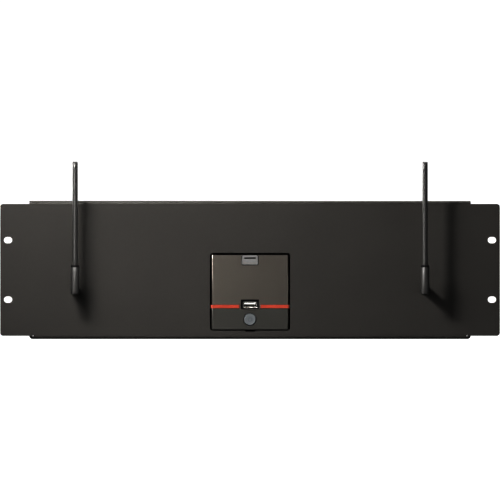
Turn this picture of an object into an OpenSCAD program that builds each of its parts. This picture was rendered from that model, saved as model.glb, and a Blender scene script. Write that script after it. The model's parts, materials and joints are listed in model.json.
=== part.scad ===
// Wireless receiver in a three-unit rack shelf, with two swivelling antennas on the front panel.
// Millimetres. +Z is up and the front faces -Y. The origin is the centre of the four rack slots,
// on the plane where the ears bear on the rack's rails.

/* [Rack shelf] */
// Width across both ears
ear_w = 480; // [478:0.5:482.5]
// Height of the ears, without the bends above and below them
ear_h = 126.5; // [126:0.5:127]
// Width of the folded body between the ears
body_w = 424; // [420:1:440]
// Depth of the shelf behind the rails
shelf_d = 150; // [140:5:180]
// Depth of the top flange behind the rails
flange_d = 18; // [12:1:30]
// Thickness of the steel sheet
sheet_t = 2; // [1.5:0.5:2]
// Outside radius of the bends
bend_r = 3; // [3:0.5:4]

/* [Rack slots] */
// Distance between the two columns of slots
slot_dx = 465.1; // [465:0.1:465.2]
// Distance between the two rows of slots
slot_dz = 57.15; // [57.1:0.05:57.2]
// Length of one slot
slot_l = 8.4; // [7.5:0.1:10]
// Width of one slot
slot_w = 6.5; // [6.4:0.1:7]

/* [Receiver] */
// Width of the receiver's face
face_w = 74; // [74:0.5:75]
// Height of the receiver's face
face_h = 71.7; // [71.5:0.1:72.5]
// Height of the face's centre above the centre of the slots
face_z = -21.5; // [-21.7:0.1:-21.3]
// Height of the light bar's centre
strip_z = -35.3; // [-35.6:0.1:-35]
// Height of the power button's centre
button_z = -47.6; // [-48:0.1:-47]
// Diameter of the power button
button_d = 11.7; // [10:0.1:12]
// How far the power button travels
button_travel = 0.7; // [0.3:0.1:1]

/* [Antennas] */
// Distance between the two antennas
antenna_dx = 336; // [300:2:350]
// Height of the hinge pins and connectors
pin_z = -19; // [-22:0.5:-10]
// How far the hinge pins stand in front of the rails
pin_out = 27; // [27:0.5:30]
// Diameter of a whip
whip_d = 5; // [4.6:0.1:5.2]
// Diameter of the sleeve at the foot of a whip
sleeve_d = 8.2; // [7.8:0.1:8.4]
// Height of the whip's tip above its hinge pin
whip_reach = 122.9; // [100:1:160]

/* [Hidden] */
$fn = 64;
hex = 6;
eps = 0.1;

body_half = body_w / 2;
shelf_bottom = -ear_h / 2 - bend_r;
shelf_floor = shelf_bottom + sheet_t;
bend_in = bend_r - sheet_t;
ear_corner_r = 2.8;
cutout_gap = 1.45;
cutout_w = face_w + 2 * cutout_gap;
cutout_h = face_h + 2.8;
cutout_z = face_z + 0.4;
cutout_r = 3;
notch_w = 9;
notch_h = 1;
relief_r = 1;
wall_y = 2.5;
wall_top = 56;
wall_rear = -36;
vent_l = 36;
vent_w = 5;
vent_pitch = 20;
vent_first = 60;
vent_last = 200;
vent_rows = [50, 105];
access_d = 9;
wall_shoulder = flange_d + 12;
relief_drop = 0.3;

// Coaxial jacks, with a quarter-inch thread
thread_d = 6.35;
thread_hole_d = 6.5;
jack_bore_d = 4.7;
jack_front = -10.6;
jack_rear = 12;
hex_af = 8;
nut_t = 2;
washer_t = 0.6;

// Receiver's face
face_front = -2.2;
face_t = 3;
face_back = face_front + face_t;
face_corner_r = 1.5;
face_edge_r = 1;
badge_w = 15.4;
badge_h = 9.2;
badge_t = 0.9;
badge_inset = 0.2;
badge_proud = 0.3;
seal_depth = 6;
seal_outer = [90, 83.2];
face_bottom = face_z - face_h / 2;
face_top = face_z + face_h / 2;
unit_half = face_w / 2 - 0.4;
unit_bottom = face_bottom + 0.35;
unit_top = face_top - 0.35;
unit_rear = 118;
rear_t = 2;
shell_rear = unit_rear - rear_t;
wall_t = 1.8;
strip_h = 3.4;
strip_out = 1;
strip_gap = 10.1;
button_clear = 0.45;
button_proud = 0.2;
button_flange = 2.3;

// Receiver's housing, split at the light bar
split_z = strip_z;
split_gap = 0.1;
boss_half = 4;
boss_front = 104;
rear_pilot_y = 106;
base_boss_d = 8;
base_boss_h = 6.5;
post_d = 6;
pilot_d = 2.4;
pilot_l = 10;
top_vent_x = 17;
top_vent_l = 24;
side_vent_z = -12;
side_vent_l = 26;
cover_vent_w = 2.6;
cover_vent_pitch = 7;

// Front USB port, standing on the main board
usb_z = -33.5;
usb_w = 13.1;
usb_h = 5.7;
usb_wall = 0.3;
usb_rear = 12.8;
usb_front = -0.9;
usb_tongue_half = 5.55;
usb_tongue_low = 0.25;
usb_tongue_high = 2.09;
usb_insulator_y = 9.5;
usb_contact_x = [-3.5, -1, 1, 3.5];
bezel_t = 2.4;
bezel_inset = 1.6;
recess_half = 8.65;
recess_top = -28.6;
recess_bottom = -37.6;

// Boards
board_top = usb_z - usb_h / 2 - 0.05;
board_t = 1.6;
board_half = 33.5;
board_front = 2;
board_rear = 112;
post_x = 29;
post_front = 20;
post_rear = 88;
stem_d = 3.5;
stem_rear = 6.5;
front_board_y = 9;
front_board_half = 30;
front_board_low = -55;
switch_front = 4.7;
switch_half = 3;
led_x = [14, 22, 30];
led_size = [3.2, 1.8, 2];
chip_front = 18;
memory_x = [-21, -8];
memory_size = [10, 12, 1.1];
wifi_x = 8;
wifi_size = [17, 13, 2.8];
processor_y = 47;
processor_size = [26, 26, 1.8];
capacitor_x = 30;
capacitor_y = [46, 60];
capacitor_d = 6.3;
capacitor_h = 7.7;
sink_w = 50;
sink_l = 48;
sink_base = 3;
sink_h = 20.9;
fin_count = 10;
fin_t = 1.5;

// Bracket under the receiver
hat_t = 1.5;
hat_half = 32;
hat_foot = 46;
hat_front = 14;
hat_rear = 106;
hat_out_r = 2;
hat_in_r = hat_out_r - hat_t;
base_screw_x = 22;
foot_screw_x = 39.5;
screw_y = [30, 90];
m3 = 3;
m3_shank = 2.95;
m3_clear = 3.4;
m3_head_d = 5.5;
m3_head_h = 2;
m3_socket_d = 2.9;
base_screw_l = 6.5;
rear_screw_l = 9;
foot_screw_l = 5.6;
foot_head_d = 5.6;
foot_socket_d = 2.3;
countersink_d = 6;
countersink_h = 1.4;
clinch_d = 6.3;
clinch_h = 2;
clinch_hole_d = 4.2;
clinch_shank_d = 4.15;

// Rear sockets: centre across the receiver
ethernet_x = 17;
video_x = -2;
audio_x = -16;
inlet_x = -26.5;
reset_x = 29.5;
rear_antenna_x = 24;
rear_antenna_z = 1;
audio_z = board_top + 3.4;
inlet_z = board_top + 5.5;
reset_z = board_top + 2;
ethernet_size = [16, 13.5];
ethernet_front = 97.5;
ethernet_mouth_y = 104.5;
ethernet_contact_pitch = 1.02;
video_front = 107;
video_z = board_top + 2.9;
video_wall = 0.5;
inlet_half = 4.5;
inlet_h = 11;
inlet_front = 103.5;
inlet_bore_d = 5.7;
inlet_bore_y = 107.5;
inlet_pin_d = 2.1;
audio_half = 3.3;
audio_h = 6.2;
audio_front = 104;
audio_nose_d = 5.9;
audio_bore_d = 3.6;
audio_bore_y = 105.5;
reset_half = 2.1;
reset_front = 109.4;
reset_back = 113;
reset_stem_d = 1.9;
panel_clear = 0.2;
rear_screw_x = 31;
rear_screw_top = unit_top - 4.5;
rear_screw_bottom = unit_bottom + 4.5;

// Antenna parts, along the connector's axis
coupling_rear = -5;
coupling_lip = -11.8;
coupling_front = -13.5;
swivel_rear = -13.6;
swivel_front = -pin_out + 5;
swivel_clear = 0.2;
tongue_t = 2.6;
tongue_r = 2.8;
fork_gap = 2.8;
fork_r = 4.5;
fork_clear = 0.15;
pin_d = 1.8;
pin_l = sleeve_d - 0.4;
sleeve_top = 21.6;
spigot_d = 3.6;
spigot_l = 12;
neck_l = 2;
neck_d = 4;
ring_d = sleeve_d - 0.4;
tip_l = 8;
tip_d = whip_d - 0.4;
tip_r = 0.8;
foot_chamfer = 0.8;
core_d = 1.3;
nut_outer_d = sleeve_d + 0.1;
knurl_d = 0.9;
knurl_step = 20;
barrel_d = 5;
collar_d = 6.2;

module along_x(x0, length) {
    translate([x0, 0, 0]) rotate([90, 0, 90]) linear_extrude(length) children();
}

module along_y(y0, length) {
    translate([0, y0 + length, 0]) rotate([90, 0, 0]) linear_extrude(length) children();
}

module along_z(z0, length) {
    translate([0, 0, z0]) linear_extrude(length) children();
}

// A box between two opposite corners
module block(low, high) {
    translate(low) cube(high - low);
}

module round_y(d, y0, y1, sides = 64) {
    translate([0, y1, 0]) rotate([90, 0, 0]) cylinder(d = d, h = y1 - y0, $fn = sides);
}

module hex_y(across_flats, y0, y1) {
    round_y(across_flats / cos(30), y0, y1, hex);
}

module rounded_rect(w, h, r) {
    square([w - 2 * r, h], center = true);
    square([w, h - 2 * r], center = true);
    for (x = [-1, 1], y = [-1, 1]) {
        translate([x * (w / 2 - r), y * (h / 2 - r)]) circle(r);
    }
}

module slot_outline(length, width) {
    square([length - width, width], center = true);
    for (x = [-1, 1]) {
        translate([x * (length - width) / 2, 0]) circle(d = width);
    }
}

// A quarter of a ring about the origin, in the quadrant that the signs name
module bend_profile(outer, inner, side, up) {
    intersection() {
        difference() {
            circle(outer);
            circle(inner);
        }
        translate([side < 0 ? -outer : 0, up < 0 ? -outer : 0]) square(outer);
    }
}

// Both ends of a pair, left first
module pair(x) {
    for (side = [-1, 1]) {
        translate([side * x, 0, 0]) children();
    }
}

module at_four_screws(x, z) {
    for (side = [-1, 1], y = screw_y) {
        translate([side * x, y, z]) children();
    }
}

module face_outline() {
    difference() {
        rounded_rect(ear_w, ear_h, ear_corner_r);
        translate([0, cutout_z]) rounded_rect(cutout_w, cutout_h, cutout_r);
        translate([0, cutout_z - cutout_h / 2]) square([notch_w, 2 * notch_h], center = true);
        for (x = [-1, 1], z = [-1, 1]) {
            translate([x * slot_dx / 2, z * slot_dz / 2]) slot_outline(slot_l, slot_w);
        }
        for (x = [-1, 1]) {
            translate([x * antenna_dx / 2, pin_z]) circle(d = thread_hole_d);
        }
    }
}

module floor_outline() {
    difference() {
        translate([-body_half + bend_r, bend_in]) {
            square([body_w - 2 * bend_r, shelf_d - bend_in]);
        }
        for (side = [-1, 1], x = [vent_first:vent_pitch:vent_last], y = vent_rows) {
            translate([side * x, y]) rotate(90) slot_outline(vent_l, vent_w);
        }
        for (side = [-1, 1], y = screw_y) {
            translate([side * base_screw_x, y]) circle(d = access_d);
            translate([side * foot_screw_x, y]) circle(d = m3_clear);
        }
    }
}

module wall_outline() {
    polygon([
        [wall_y, -ear_h / 2],
        [shelf_d, -ear_h / 2],
        [shelf_d, wall_rear],
        [wall_shoulder, wall_top],
        [wall_y, wall_top]
    ]);
}

module rack_shelf() color("#2b2a29") difference() {
    union() {
        along_y(-sheet_t, sheet_t) face_outline();
        along_x(-body_half + bend_r, body_w - 2 * bend_r) {
            translate([bend_in, -ear_h / 2]) bend_profile(bend_r, bend_in, -1, -1);
        }
        along_x(-body_half, body_w) {
            translate([bend_in, ear_h / 2]) bend_profile(bend_r, bend_in, -1, 1);
            translate([bend_in, ear_h / 2 + bend_in]) square([flange_d - bend_in, sheet_t]);
        }
        along_z(shelf_bottom, sheet_t) floor_outline();
        for (side = [-1, 1]) {
            along_y(wall_y, shelf_d - wall_y) {
                translate([side * (body_half - bend_r), -ear_h / 2]) {
                    bend_profile(bend_r, bend_in, side, -1);
                }
            }
            along_x(side < 0 ? -body_half : body_half - sheet_t, sheet_t) wall_outline();
        }
    }
    pair(body_half - bend_r) {
        translate([0, 0, -ear_h / 2 - relief_drop]) round_y(2 * relief_r, -sheet_t - eps, wall_y);
    }
    at_four_screws(foot_screw_x, shelf_bottom - eps) {
        cylinder(d1 = countersink_d, d2 = m3_clear, h = countersink_h);
    }
}

module hat_profile() {
    square([2 * (hat_half - hat_out_r), hat_t], center = true);
    for (side = [-1, 1]) {
        translate([side * (hat_half - hat_out_r), hat_t / 2 - hat_out_r]) {
            bend_profile(hat_out_r, hat_in_r, side, 1);
        }
    }
}

module hat_leg_profile(side) {
    foot_z = shelf_floor + hat_out_r;
    head_z = unit_bottom - hat_out_r;
    translate([side < 0 ? -hat_half : hat_half - hat_t, foot_z]) square([hat_t, head_z - foot_z]);
    translate([side * (hat_half + hat_in_r), foot_z]) bend_profile(hat_out_r, hat_in_r, -side, -1);
    translate([side < 0 ? -hat_foot : hat_half + hat_in_r, shelf_floor]) {
        square([hat_foot - hat_half - hat_in_r, hat_t]);
    }
}

module receiver_bracket() color("#3a3a3a") difference() {
    along_y(hat_front, hat_rear - hat_front) {
        translate([0, unit_bottom - hat_t / 2]) hat_profile();
        for (side = [-1, 1]) {
            hat_leg_profile(side);
        }
    }
    at_four_screws(base_screw_x, unit_bottom - hat_t - eps) {
        cylinder(d = m3_clear, h = hat_t + 2 * eps);
    }
    at_four_screws(foot_screw_x, shelf_floor - eps) {
        cylinder(d = clinch_hole_d, h = hat_t + 2 * eps);
    }
}

module clinch_nuts() color("#b0b0b0") at_four_screws(foot_screw_x, shelf_floor + hat_t) {
    difference() {
        union() {
            cylinder(d = clinch_d, h = clinch_h);
            translate([0, 0, -1]) cylinder(d = clinch_shank_d, h = 1 + eps);
        }
        translate([0, 0, -2]) cylinder(d = m3, h = clinch_h + 3);
    }
}

module bracket_screws() color("#1c1c1c") at_four_screws(foot_screw_x, shelf_bottom) {
    difference() {
        union() {
            cylinder(d1 = foot_head_d, d2 = m3_shank, h = countersink_h);
            cylinder(d = m3_shank, h = foot_screw_l);
        }
        translate([0, 0, -eps]) cylinder(d = foot_socket_d, h = 1, $fn = hex);
    }
}

module base_screws() color("#1c1c1c") at_four_screws(base_screw_x, unit_bottom - hat_t) {
    difference() {
        union() {
            translate([0, 0, -m3_head_h]) cylinder(d = m3_head_d, h = m3_head_h);
            cylinder(d = m3_shank, h = base_screw_l);
        }
        translate([0, 0, -m3_head_h - eps]) cylinder(d = m3_socket_d, h = 1.2, $fn = hex);
    }
}

// One wall of the housing on each side, between two heights
module side_walls(low, high) {
    for (side = [-1, 1]) {
        translate([side * (unit_half - wall_t / 2), (face_back + shell_rear) / 2, (low + high) / 2]) {
            cube([wall_t, shell_rear - face_back, high - low], center = true);
        }
    }
}

module rear_boss(z, low, high) {
    difference() {
        pair(unit_half - boss_half) {
            block([-boss_half, boss_front, low], [boss_half, shell_rear, high]);
        }
        pair(rear_screw_x) translate([0, 0, z]) round_y(m3, rear_pilot_y, shell_rear + eps);
    }
}

module base_shell() color("#2f2f30") difference() {
    union() {
        block([-unit_half, face_back, unit_bottom], [unit_half, shell_rear, unit_bottom + wall_t]);
        side_walls(unit_bottom, split_z - split_gap / 2);
        rear_boss(rear_screw_bottom, unit_bottom + wall_t / 2, rear_screw_bottom + boss_half);
        at_four_screws(base_screw_x, unit_bottom + wall_t / 2) {
            cylinder(d = base_boss_d, h = base_boss_h);
        }
        for (y = [post_front, post_rear]) {
            pair(post_x) {
                translate([0, y, unit_bottom + wall_t / 2]) {
                    cylinder(d = post_d, h = board_top - board_t - unit_bottom - wall_t / 2);
                }
            }
        }
    }
    at_four_screws(base_screw_x, unit_bottom - eps) cylinder(d = m3, h = base_boss_h - 0.5);
    for (y = [post_front, post_rear]) {
        pair(post_x) translate([0, y, board_top - pilot_l]) cylinder(d = pilot_d, h = pilot_l);
    }
}

module cover_vents() {
    for (side = [-1, 1], y = [26:cover_vent_pitch:96]) {
        translate([side * top_vent_x, y]) slot_outline(top_vent_l, cover_vent_w);
    }
}

module top_cover() color("#2f2f30") difference() {
    union() {
        block([-unit_half, face_back, unit_top - wall_t], [unit_half, shell_rear, unit_top]);
        side_walls(split_z + split_gap / 2, unit_top);
        rear_boss(rear_screw_top, rear_screw_top - boss_half, unit_top - wall_t / 2);
    }
    along_z(unit_top - 2 * wall_t, 3 * wall_t) cover_vents();
    along_x(-face_w, 2 * face_w) {
        for (y = [30:cover_vent_pitch:93]) {
            translate([y, side_vent_z]) rotate(90) slot_outline(side_vent_l, cover_vent_w);
        }
    }
}

module video_outline(grow) {
    polygon([
        [-7.5 - grow, 2.8 + grow],
        [-7.5 - grow, -0.6 - grow],
        [-5.6 - grow, -2.8 - grow],
        [5.6 + grow, -2.8 - grow],
        [7.5 + grow, -0.6 - grow],
        [7.5 + grow, 2.8 + grow]
    ]);
}

module rear_panel() color("#29292a") difference() {
    block([-unit_half, shell_rear, unit_bottom], [unit_half, unit_rear, unit_top]);
    along_y(shell_rear - eps, rear_t + 2 * eps) {
        translate([ethernet_x, board_top + ethernet_size[1] / 2]) {
            square(ethernet_size + 2 * [panel_clear, panel_clear], center = true);
        }
        translate([video_x, video_z]) video_outline(panel_clear);
        translate([audio_x, audio_z]) circle(d = audio_nose_d + 2 * panel_clear);
        translate([inlet_x, inlet_z]) {
            square([2 * inlet_half, inlet_h] + 2 * [panel_clear, panel_clear], center = true);
        }
        translate([reset_x, reset_z]) circle(d = reset_stem_d + 0.5);
        for (side = [-1, 1]) {
            translate([side * rear_antenna_x, rear_antenna_z]) circle(d = thread_hole_d);
            translate([side * rear_screw_x, rear_screw_top]) circle(d = m3_clear);
            translate([side * rear_screw_x, rear_screw_bottom]) circle(d = m3_clear);
        }
    }
}

module rear_panel_screws() color("#1c1c1c") {
    for (z = [rear_screw_top, rear_screw_bottom]) {
        pair(rear_screw_x) translate([0, 0, z]) difference() {
            union() {
                round_y(m3_head_d, unit_rear, unit_rear + m3_head_h);
                round_y(m3_shank, unit_rear - rear_screw_l, unit_rear + eps);
            }
            round_y(m3_socket_d, unit_rear + m3_head_h - 1.2, unit_rear + m3_head_h + eps, hex);
        }
    }
}

// A slice of the face between two heights, with its upright front edges rounded
module face_slice(low, high) {
    intersection() {
        along_y(face_front, face_t) {
            translate([0, face_z]) rounded_rect(face_w, face_h, face_corner_r);
        }
        along_z(low, high - low) {
            translate([0, face_front + 15]) rounded_rect(face_w, 30, face_edge_r);
        }
    }
}

module upper_fascia() color("#55504a") difference() {
    union() {
        face_slice(strip_z + strip_h / 2 + 0.1, face_top + 1);
        block([-9.9, face_front, recess_bottom - 0.5], [9.9, face_back, strip_z + strip_h / 2 + 1]);
    }
    block([-recess_half, face_front - 1, recess_bottom], [recess_half, face_back + 1, recess_top]);
    block(
        [-badge_w / 2 - 0.4, face_front - 1, face_top - badge_h - 0.6],
        [badge_w / 2 + 0.4, face_front - badge_proud + badge_t, face_top + 1]
    );
}

module lower_fascia() color("#3a3836") difference() {
    face_slice(face_bottom - 1, strip_z - strip_h / 2 - 0.1);
    block([-10, face_front - 1, recess_bottom - 0.6], [10, face_back + 1, strip_z]);
    translate([0, 0, button_z]) round_y(button_d + 2 * button_clear, face_front - 1, face_back + 1);
}

module badge() color("#bdbdbb") along_y(face_front - badge_proud, badge_t) {
    translate([0, face_top - badge_inset - badge_h / 2]) rounded_rect(badge_w, badge_h, 1.2);
}

module light_strip(side) color("#e23b2c") along_z(strip_z - strip_h / 2, strip_h) {
    bar_front = face_front - 0.4;
    outer = face_w / 2 + strip_out;
    intersection() {
        translate([0, bar_front + 15]) rounded_rect(2 * outer, 30, 2.2);
        translate([side < 0 ? -outer : strip_gap, bar_front]) {
            square([outer - strip_gap, face_back - 0.2 - bar_front]);
        }
    }
}

// Foam frame that closes the gap between the receiver and the panel, from behind
module foam_seal() color("#0c0c0c") {
    translate([0, 0, face_z]) {
        along_y(0, seal_depth) difference() {
            square(seal_outer, center = true);
            square([cutout_w + 0.4, cutout_h + 0.8], center = true);
        }
        along_y(face_back + 0.2, seal_depth - face_back - 0.2) difference() {
            square(seal_outer - [1, 1], center = true);
            square([2 * unit_half + 0.2, unit_top - unit_bottom + 0.2], center = true);
        }
    }
}

module usb_bezel() color("#161616") along_y(face_front + bezel_inset, bezel_t) {
    difference() {
        translate([0, (recess_top + recess_bottom) / 2]) {
            square([2 * recess_half - 0.1, recess_top - recess_bottom - 0.1], center = true);
        }
        translate([0, usb_z]) square([usb_w + 0.2, usb_h + 0.2], center = true);
    }
}

module usb_shell() color("#c8c8c6") along_y(usb_front, usb_rear - usb_front) {
    translate([0, usb_z]) difference() {
        square([usb_w, usb_h], center = true);
        square([usb_w - 2 * usb_wall, usb_h - 2 * usb_wall], center = true);
    }
}

module usb_tongue() color("#e8e8e6") translate([0, 0, usb_z]) {
    block([-6.2, usb_insulator_y, -2.5], [6.2, usb_rear - 0.1, 2.5]);
    block(
        [-usb_tongue_half, usb_front + 0.6, usb_tongue_low],
        [usb_tongue_half, usb_insulator_y + eps, usb_tongue_high]
    );
}

module usb_contacts() color("#c9a24a") {
    for (x = usb_contact_x) {
        translate([x, 0, usb_z]) {
            block([-0.5, 0.6, usb_tongue_low - 0.15], [0.5, usb_insulator_y - eps, usb_tongue_low]);
        }
    }
}

module power_button() color("#575a5f") translate([0, 0, button_z]) {
    round_y(button_d, face_front - button_proud, face_back + 0.1);
    round_y(button_d + button_flange, face_back + 0.1, face_back + 0.9);
    round_y(stem_d, face_back + 0.8, stem_rear);
}

module power_switch() color("#222222") difference() {
    block(
        [-switch_half, switch_front, button_z - switch_half],
        [switch_half, front_board_y, button_z + switch_half]
    );
    translate([0, 0, button_z]) {
        round_y(stem_d + 0.1, switch_front - eps, stem_rear + button_travel + 0.4);
    }
}

module front_board() color("#1f5a34") {
    block(
        [-front_board_half, front_board_y, front_board_low],
        [front_board_half, front_board_y + board_t, board_top - board_t - 1]
    );
}

module board_link() color("#1a1a1a") {
    block(
        [-10, front_board_y + board_t, board_top - board_t - 7],
        [10, front_board_y + board_t + 2.5, board_top - board_t]
    );
}

module strip_leds() color("#f4f0e6") {
    for (side = [-1, 1], x = led_x) {
        translate([side * x - led_size[0] / 2, board_front + 0.2, board_top]) cube(led_size);
    }
}

module main_board() color("#1f5a34") difference() {
    block([-board_half, board_front, board_top - board_t], [board_half, board_rear, board_top]);
    for (y = [post_front, post_rear]) {
        pair(post_x) translate([0, y, board_top - 2 * board_t]) cylinder(d = 2.7, h = 3 * board_t);
    }
}

module board_screws() color("#b8b8b8") {
    for (y = [post_front, post_rear]) {
        pair(post_x) translate([0, y, board_top]) {
            cylinder(d = 4.5, h = 1.8);
            translate([0, 0, -8]) cylinder(d = 2.35, h = 8.1);
        }
    }
}

module processor() color("#232323") {
    translate([-processor_size[0] / 2, processor_y, board_top]) cube(processor_size);
}

module heat_sink() color("#8f9398") {
    fin_pitch = (sink_w - fin_t) / (fin_count - 1);
    sink_front = processor_y + (processor_size[1] - sink_l) / 2;
    translate([-sink_w / 2, sink_front, board_top + processor_size[2]]) {
        cube([sink_w, sink_l, sink_base]);
        for (i = [0:fin_count - 1]) {
            translate([i * fin_pitch, 0, 0]) cube([fin_t, sink_l, sink_h]);
        }
    }
}

module wifi_module() color("#b9bcc0") {
    translate([wifi_x, chip_front, board_top]) cube(wifi_size);
}

module memory_chips() color("#1b1b1b") {
    for (x = memory_x) {
        translate([x - memory_size[0] / 2, chip_front, board_top]) cube(memory_size);
    }
}

module capacitors() color("#34363a") {
    for (y = capacitor_y) {
        pair(capacitor_x) translate([0, y, board_top]) cylinder(d = capacitor_d, h = capacitor_h);
    }
}

// The mouth steps in twice above the plug, for its latch
module ethernet_socket() color("#b6b8ba") translate([ethernet_x, 0, board_top]) difference() {
    half = ethernet_size[0] / 2;
    block([-half, ethernet_front, 0], [half, unit_rear + 0.6, ethernet_size[1]]);
    block([-5.9, ethernet_mouth_y, 1.6], [5.9, unit_rear + 1, 8.8]);
    block([-3.2, ethernet_mouth_y, 8.7], [3.2, unit_rear + 1, 10.6]);
    block([-2, ethernet_mouth_y, 10.5], [2, unit_rear + 1, 11.9]);
}

module ethernet_contacts() color("#c9a24a") {
    for (i = [-3.5:1:3.5]) {
        translate([ethernet_x + i * ethernet_contact_pitch, 0, board_top]) {
            block([-0.2, ethernet_mouth_y + eps, 1.75], [0.2, 114, 2.1]);
        }
    }
}

module video_socket() color("#b6b8ba") along_y(video_front, unit_rear + 0.5 - video_front) {
    translate([video_x, video_z]) difference() {
        video_outline(0);
        video_outline(-video_wall);
    }
}

module video_tongue() color("#1a1a1a") translate([video_x, 0, video_z]) {
    block([-5.1, video_front, -2.1], [5.1, video_front + 2, 2.1]);
    block([-5.1, video_front + 1.9, 0], [5.1, unit_rear - 1, 1.6]);
}

module dc_inlet() color("#151515") difference() {
    block(
        [inlet_x - inlet_half, inlet_front, board_top],
        [inlet_x + inlet_half, unit_rear + 0.4, board_top + inlet_h]
    );
    translate([inlet_x, 0, inlet_z]) round_y(inlet_bore_d, inlet_bore_y, unit_rear + 1);
}

module dc_pin() color("#c8c8c6") translate([inlet_x, 0, inlet_z]) {
    round_y(inlet_pin_d, inlet_bore_y, unit_rear - 0.6);
}

module audio_socket() color("#151515") difference() {
    union() {
        block(
            [audio_x - audio_half, audio_front, board_top],
            [audio_x + audio_half, shell_rear - 0.2, board_top + audio_h]
        );
        translate([audio_x, 0, audio_z]) round_y(audio_nose_d, audio_front + 6, unit_rear + 0.8);
    }
    translate([audio_x, 0, audio_z]) round_y(audio_bore_d, audio_bore_y, unit_rear + 1);
}

module reset_switch() color("#222222") difference() {
    block(
        [reset_x - reset_half, reset_front, board_top],
        [reset_x + reset_half, reset_back, board_top + 2 * reset_half - 0.1]
    );
    translate([reset_x, 0, reset_z]) round_y(reset_stem_d + eps, reset_front + 1, reset_back + eps);
}

module reset_button() color("#8a2a22") {
    translate([reset_x, 0, reset_z]) round_y(reset_stem_d, reset_front + 1.8, unit_rear - 0.7);
}

// A coaxial socket along Y: threaded barrel, hexagonal shoulder, and a pin inside each open mouth
module coax_jack(y0, y1, shoulder_y, shoulder_t, mouths) {
    depth = 4;
    difference() {
        union() {
            round_y(thread_d, y0, y1);
            hex_y(hex_af, shoulder_y, shoulder_y + shoulder_t);
        }
        if (mouths[0]) {
            round_y(jack_bore_d, y0 - eps, y0 + depth);
        }
        if (mouths[1]) {
            round_y(jack_bore_d, y1 - depth, y1 + eps);
        }
    }
    if (mouths[0]) {
        round_y(0.9, y0 + 0.6, y0 + depth + eps);
    }
    if (mouths[1]) {
        round_y(0.9, y1 - depth - eps, y1 - 0.6);
    }
}

module antenna_socket(side) color("#a98d4f") {
    translate([side * rear_antenna_x, 0, rear_antenna_z]) {
        coax_jack(111, unit_rear + 9.5, unit_rear, 2, [false, true]);
    }
}

module antenna_socket_nuts() color("#a9a9a7") pair(rear_antenna_x) {
    translate([0, 0, rear_antenna_z]) difference() {
        hex_y(hex_af, shell_rear - nut_t, shell_rear);
        round_y(thread_d, shell_rear - nut_t - 1, shell_rear + 1);
    }
}

// Puts its children on one antenna's connector axis
module at_connector(side) {
    translate([side * antenna_dx / 2, 0, pin_z]) children();
}

// Puts its children at one antenna's hinge pin
module at_pin(side) {
    translate([side * antenna_dx / 2, -pin_out, pin_z]) children();
}

module panel_jack(side) color("#2a2926") at_connector(side) {
    coax_jack(jack_front, jack_rear, 0, 2.5, [true, true]);
}

module jack_washers() color("#222222") {
    for (side = [-1, 1]) {
        at_connector(side) difference() {
            round_y(9, -sheet_t - washer_t, -sheet_t);
            round_y(thread_hole_d, -sheet_t - 1, 0);
        }
    }
}

module jack_nuts() color("#222222") {
    nut_rear = -sheet_t - washer_t;
    for (side = [-1, 1]) {
        at_connector(side) difference() {
            hex_y(hex_af, nut_rear - nut_t, nut_rear);
            round_y(thread_d, nut_rear - nut_t - 1, nut_rear + 1);
        }
    }
}

module coupling_nuts() color("#2a2926") {
    for (side = [-1, 1]) {
        at_connector(side) difference() {
            round_y(nut_outer_d, coupling_front, coupling_rear);
            round_y(thread_d + 0.1, coupling_lip, coupling_rear + 1);
            round_y(barrel_d + 0.1, coupling_front - 1, coupling_lip + 1);
            for (a = [0:knurl_step:360 - knurl_step]) {
                rotate([0, a, 0]) translate([nut_outer_d / 2 + 0.25, 0, 0]) {
                    round_y(knurl_d, coupling_front - 1, coupling_rear - 1.6, 16);
                }
            }
        }
    }
}

module swivel(side) color("#1e1e1d") at_connector(side) difference() {
    union() {
        round_y(barrel_d, swivel_rear - eps, coupling_lip + 0.2);
        round_y(collar_d, coupling_lip + 0.1, coupling_lip + 0.9);
        round_y(sleeve_d - swivel_clear, swivel_front, swivel_rear);
        translate([-tongue_t / 2, -pin_out, -tongue_r]) {
            cube([tongue_t, swivel_front + eps + pin_out, 2 * tongue_r]);
        }
        translate([-tongue_t / 2, -pin_out, 0]) rotate([0, 90, 0]) cylinder(r = tongue_r, h = tongue_t);
    }
    translate([-tongue_t, -pin_out, 0]) rotate([0, 90, 0]) cylinder(d = pin_d + 0.1, h = 2 * tongue_t);
}

module hinge_pin(side) color("#8d8d8b") at_pin(side) {
    translate([-pin_l / 2, 0, 0]) rotate([0, 90, 0]) cylinder(d = pin_d, h = pin_l);
}

// The slot is closed at the front, and the foot is round behind so that it clears the swivel
module antenna_sleeve(side) color("#3c3a37") at_pin(side) difference() {
    union() {
        cylinder(d = sleeve_d, h = sleeve_top);
        intersection() {
            union() {
                foot_z = foot_chamfer - fork_r;
                translate([0, 0, foot_z]) cylinder(d = sleeve_d, h = eps - foot_z);
                translate([0, 0, -fork_r]) {
                    cylinder(d1 = sleeve_d - 2 * foot_chamfer, d2 = sleeve_d, h = foot_chamfer);
                }
            }
            union() {
                block([-sleeve_d, -sleeve_d, -fork_r], [sleeve_d, 0, fork_r]);
                translate([-sleeve_d, 0, 0]) rotate([0, 90, 0]) cylinder(r = fork_r, h = 2 * sleeve_d);
            }
        }
    }
    block(
        [-fork_gap / 2, -tongue_r - fork_clear, -fork_r - 1],
        [fork_gap / 2, sleeve_d, tongue_r + fork_clear]
    );
    translate([-sleeve_d, 0, 0]) rotate([0, 90, 0]) cylinder(d = pin_d, h = 2 * sleeve_d);
    translate([0, 0, sleeve_top - spigot_l - 0.5]) cylinder(d = spigot_d + 0.1, h = spigot_l + 1);
}

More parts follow.
